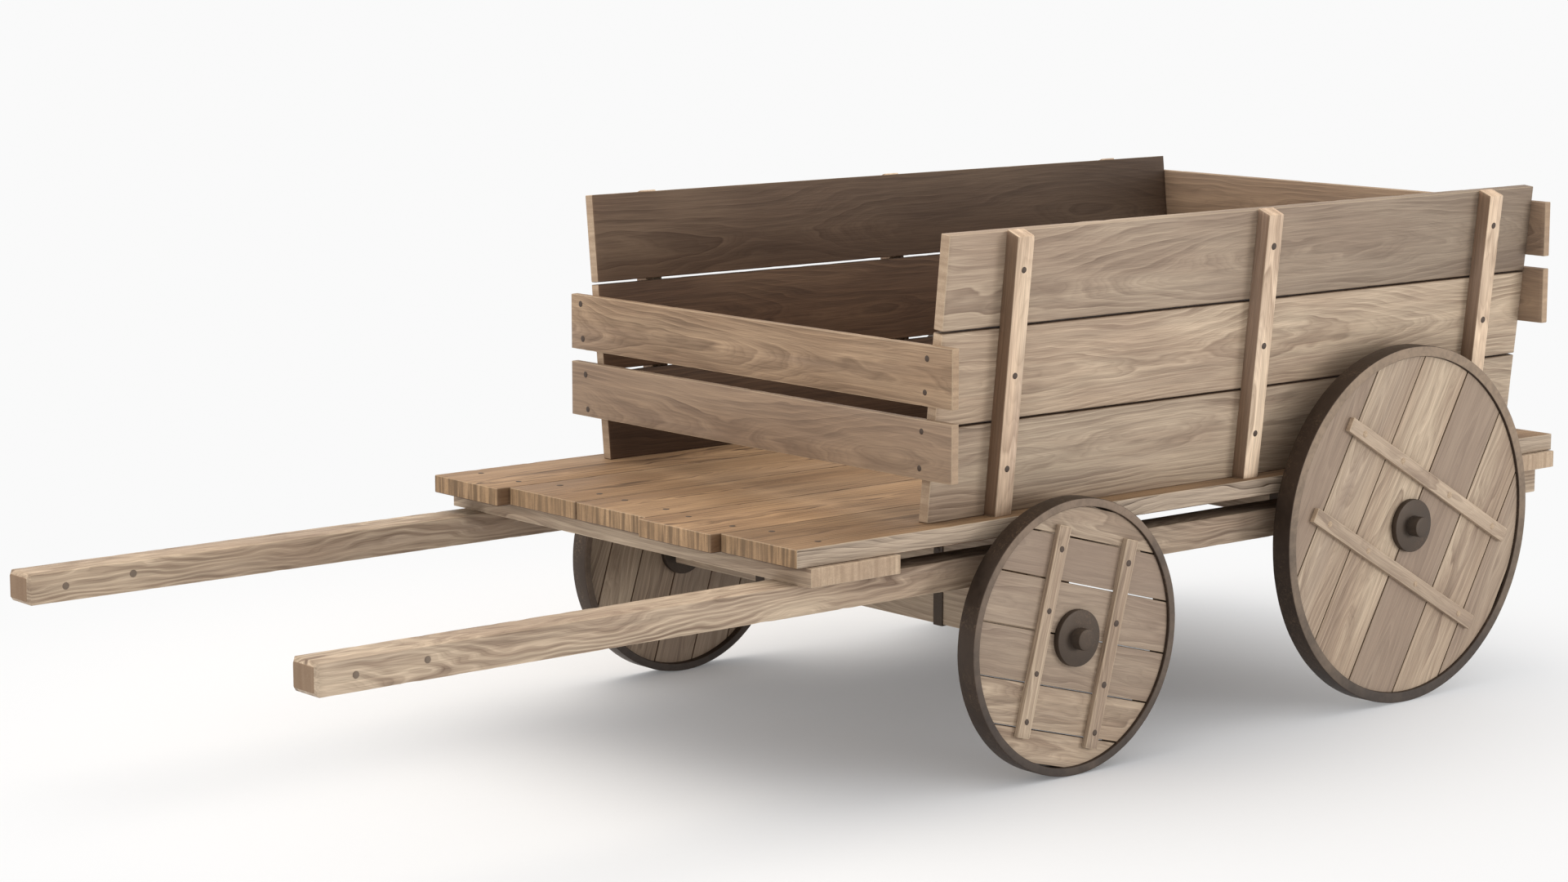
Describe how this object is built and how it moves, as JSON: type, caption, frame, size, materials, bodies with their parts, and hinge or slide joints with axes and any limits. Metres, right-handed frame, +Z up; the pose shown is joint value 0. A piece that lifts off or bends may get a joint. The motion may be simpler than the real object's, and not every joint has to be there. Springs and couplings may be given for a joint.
{
  "type": "wooden hand cart",
  "caption": "Four-wheeled wooden hand cart with two long shafts, a plank deck, leaning board sides and plank disc wheels with iron tyres.",
  "frame": {"origin": "on the ground under the middle of the cart's bounding box", "axes": "+X from the shaft ends to the rear of the deck, +Y to the cart's right side, +Z up"},
  "size_m": [3.56, 1.474, 1.189],
  "materials": {
    "deck_oak": "warm brown sawn wood, worn and unvarnished",
    "frame_oak": "greyed brown wood with a bold figure, unvarnished",
    "wheel_oak": "greyed brown wood, dry and matte",
    "tyre_iron": "dark forged iron, worn and lightly rusted",
    "forged_iron": "dark forged iron, matte",
    "nail_iron": "dark blunt nail heads"
  },
  "bodies": {
    "cart": {"deck_plank_1": "deck_oak", "deck_plank_2": "deck_oak", "deck_plank_3": "deck_oak", "deck_plank_4": "deck_oak", "deck_plank_5": "deck_oak", "front_cleat": "frame_oak", "rear_cleat": "frame_oak", "left_shaft": "frame_oak", "right_shaft": "frame_oak", "left_side_board_bottom": "frame_oak", "left_side_board_middle": "frame_oak", "left_side_board_top": "frame_oak", "right_side_board_bottom": "frame_oak", "right_side_board_middle": "frame_oak", "right_side_board_top": "frame_oak", "left_stake_front": "frame_oak", "left_stake_middle": "frame_oak", "left_stake_rear": "frame_oak", "right_stake_front": "frame_oak", "right_stake_middle": "frame_oak", "right_stake_rear": "frame_oak", "front_board_lower": "frame_oak", "front_board_upper": "frame_oak", "rear_board_lower": "frame_oak", "rear_board_upper": "frame_oak", "front_axle_beam": "frame_oak", "front_axle_straps": "forged_iron", "front_axle_rod": "forged_iron", "front_axle_collars": "forged_iron", "rear_axle_beam": "frame_oak", "rear_axle_straps": "forged_iron", "rear_axle_rod": "forged_iron", "rear_axle_collars": "forged_iron", "deck_nails": "nail_iron", "stake_nails": "nail_iron", "end_board_nails": "nail_iron", "strap_nails": "nail_iron", "shaft_pegs": "nail_iron"},
    "front_left_wheel": {"front_left_wheel_planks": "wheel_oak", "front_left_tyre": "tyre_iron", "front_left_battens": "wheel_oak", "front_left_batten_nails": "nail_iron", "front_left_hub_bush": "forged_iron"},
    "front_right_wheel": {"front_right_wheel_planks": "wheel_oak", "front_right_tyre": "tyre_iron", "front_right_battens": "wheel_oak", "front_right_batten_nails": "nail_iron", "front_right_hub_bush": "forged_iron"},
    "rear_left_wheel": {"rear_left_wheel_planks": "wheel_oak", "rear_left_tyre": "tyre_iron", "rear_left_battens": "wheel_oak", "rear_left_batten_pegs": "wheel_oak", "rear_left_hub_bush": "forged_iron"},
    "rear_right_wheel": {"rear_right_wheel_planks": "wheel_oak", "rear_right_tyre": "tyre_iron", "rear_right_battens": "wheel_oak", "rear_right_batten_pegs": "wheel_oak", "rear_right_hub_bush": "forged_iron"}
  },
  "joints": [
    {"name": "front_left_wheel_turn", "type": "hinge", "parent": "cart", "child": "front_left_wheel", "pos_m": [0.07, -0.68, 0.304], "axis": [0, 1, 0], "continuous": true},
    {"name": "front_right_wheel_turn", "type": "hinge", "parent": "cart", "child": "front_right_wheel", "pos_m": [0.07, 0.68, 0.304], "axis": [0, 1, 0], "continuous": true},
    {"name": "rear_left_wheel_turn", "type": "hinge", "parent": "cart", "child": "rear_left_wheel", "pos_m": [1.1665, -0.68, 0.4224], "axis": [0, 1, 0], "continuous": true},
    {"name": "rear_right_wheel_turn", "type": "hinge", "parent": "cart", "child": "rear_right_wheel", "pos_m": [1.1665, 0.68, 0.4224], "axis": [0, 1, 0], "continuous": true}
  ]
}
